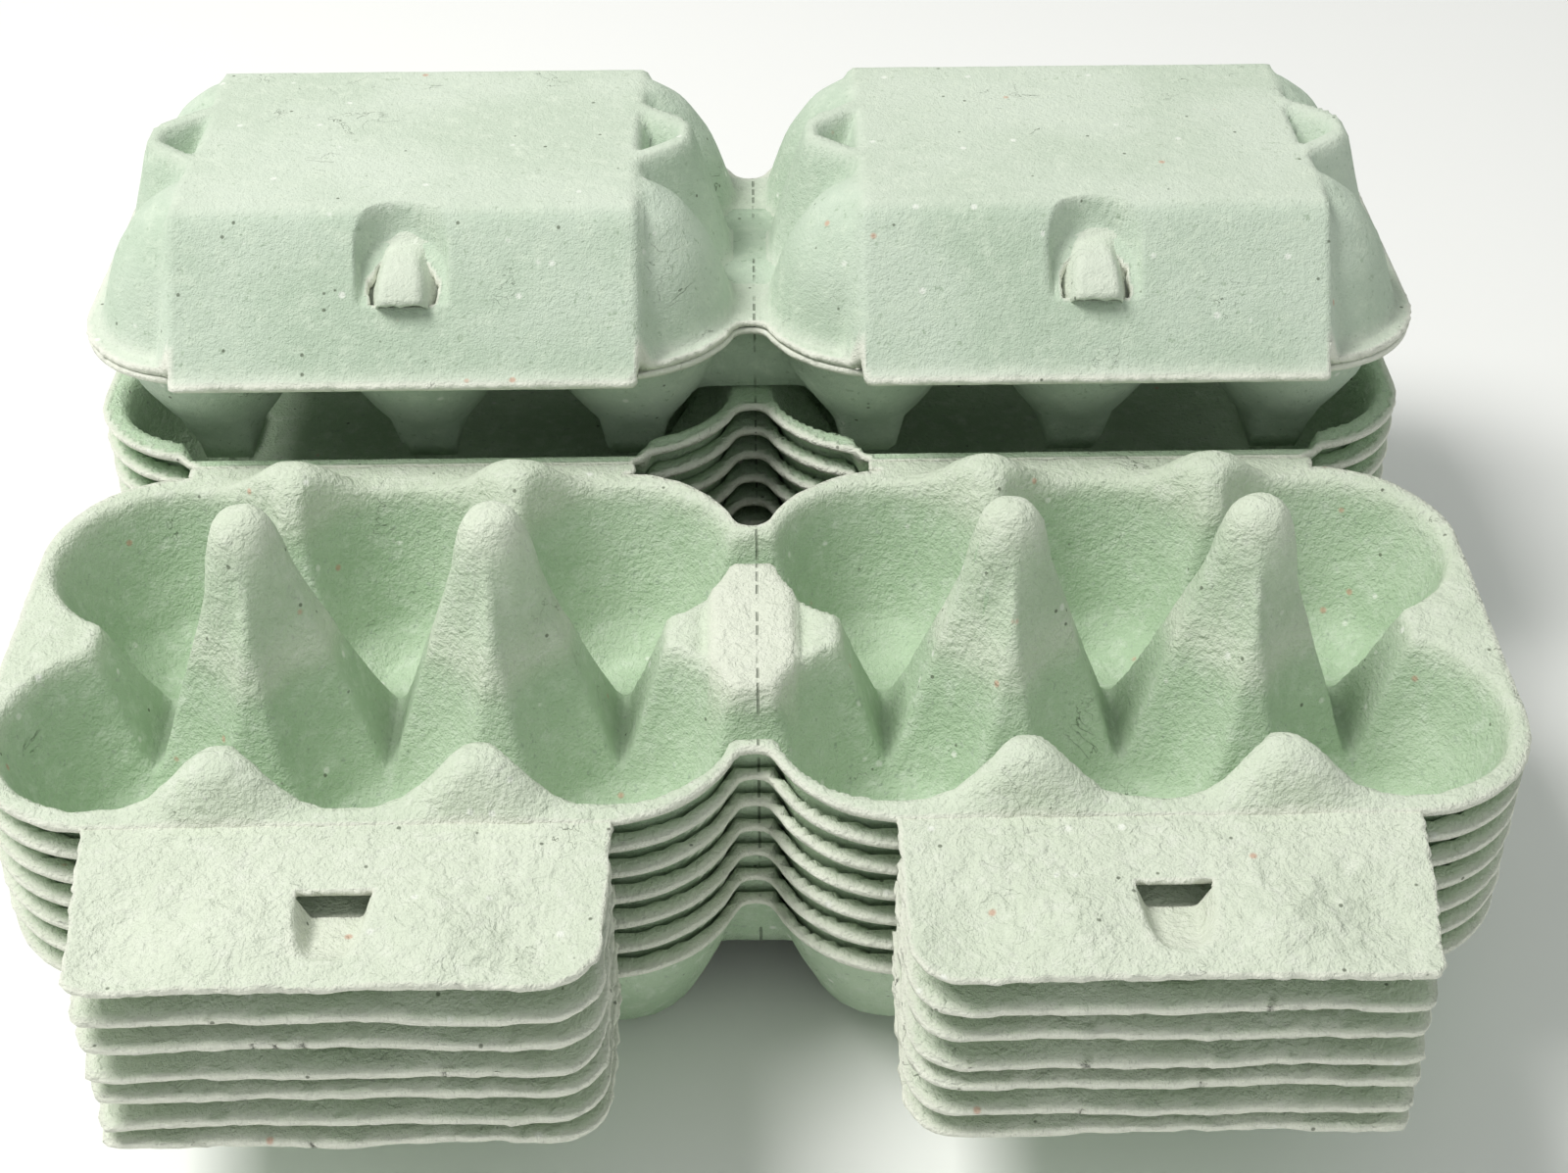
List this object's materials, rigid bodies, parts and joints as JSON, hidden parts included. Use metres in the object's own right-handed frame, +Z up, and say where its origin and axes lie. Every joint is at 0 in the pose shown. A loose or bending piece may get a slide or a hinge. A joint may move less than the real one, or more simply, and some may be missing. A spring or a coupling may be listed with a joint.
{
  "type": "stack of egg cartons",
  "caption": "Stack of moulded-pulp egg cartons nested open, with front flaps, cup trays and hinged lids, and a closed carton standing in the lids.",
  "frame": {"origin": "centre of the bounding box's underside, on the surface the stack stands on", "axes": "+X along the cartons' length, +Y from the front flaps towards the lids, +Z up"},
  "size_m": [0.295, 0.2708, 0.1252],
  "materials": {
    "pulp": "rough matte moulded pulp, pale green"
  },
  "bodies": {
    "stack": {"open_carton_1": "pulp", "open_carton_2": "pulp", "open_carton_3": "pulp", "open_carton_4": "pulp", "open_carton_5": "pulp", "open_carton_6": "pulp", "open_carton_7": "pulp", "closed_carton": "pulp"},
    "flap_left": {"front_flap_left": "pulp"},
    "flap_right": {"front_flap_right": "pulp"}
  },
  "joints": [
    {"name": "flap_left_crease", "type": "hinge", "parent": "stack", "child": "flap_left", "pos_m": [-0.074, -0.09947, 0.07459], "axis": [-1, 0, 0], "range_deg": [0, 120]},
    {"name": "flap_right_crease", "type": "hinge", "parent": "stack", "child": "flap_right", "pos_m": [0.074, -0.09947, 0.07459], "axis": [-1, 0, 0], "range_deg": [0, 120]}
  ]
}
